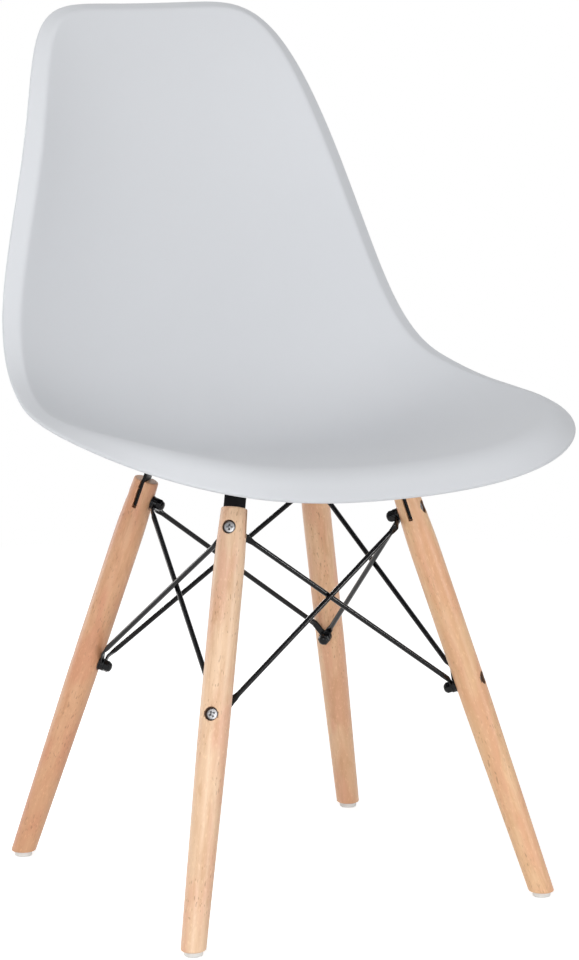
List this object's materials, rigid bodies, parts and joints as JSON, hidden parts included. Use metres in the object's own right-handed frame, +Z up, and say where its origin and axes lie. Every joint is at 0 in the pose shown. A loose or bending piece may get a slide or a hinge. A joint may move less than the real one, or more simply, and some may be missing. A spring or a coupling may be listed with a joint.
{
  "type": "moulded shell chair",
  "caption": "Side chair: one-piece moulded plastic seat and back with a rolled lip, on splayed round wooden legs braced by crossed thin steel rods.",
  "frame": {"origin": "on the floor, under the middle of the chair's bounding box", "axes": "+Z up, the chair faces -Y, +X is the chair's width"},
  "size_m": [0.4945, 0.4958, 0.8142],
  "materials": {
    "shell_plastic": "cool light grey polypropylene with a fine matt grain",
    "beech": "clear-lacquered beech, turned",
    "black_steel": "black powder coat, satin",
    "black_screws": "black oxide, satin",
    "zinc_steel": "zinc plated",
    "brass": "plain machined",
    "pad_rubber": "matt",
    "glide_plastic": "white nylon"
  },
  "bodies": {
    "root": {"brace_front_inner": "black_steel", "brace_front_outer": "black_steel", "brace_left_inner": "black_steel", "brace_left_outer": "black_steel", "brace_rear_inner": "black_steel", "brace_rear_outer": "black_steel", "brace_right_inner": "black_steel", "brace_right_outer": "black_steel", "bracket_bar_cranked": "black_steel", "bracket_bar_flat": "black_steel", "cap_nuts_lower": "black_screws", "cap_nuts_upper": "black_screws", "glide_nails": "zinc_steel", "glides": "glide_plastic", "leg_bolts_lower": "zinc_steel", "leg_bolts_upper": "zinc_steel", "leg_front_left": "beech", "leg_front_right": "beech", "leg_rear_left": "beech", "leg_rear_right": "beech", "leg_washers": "zinc_steel", "seat_shell": "shell_plastic", "shell_inserts": "brass", "shell_pads": "pad_rubber", "shell_screws": "zinc_steel"}
  },
  "joints": []
}
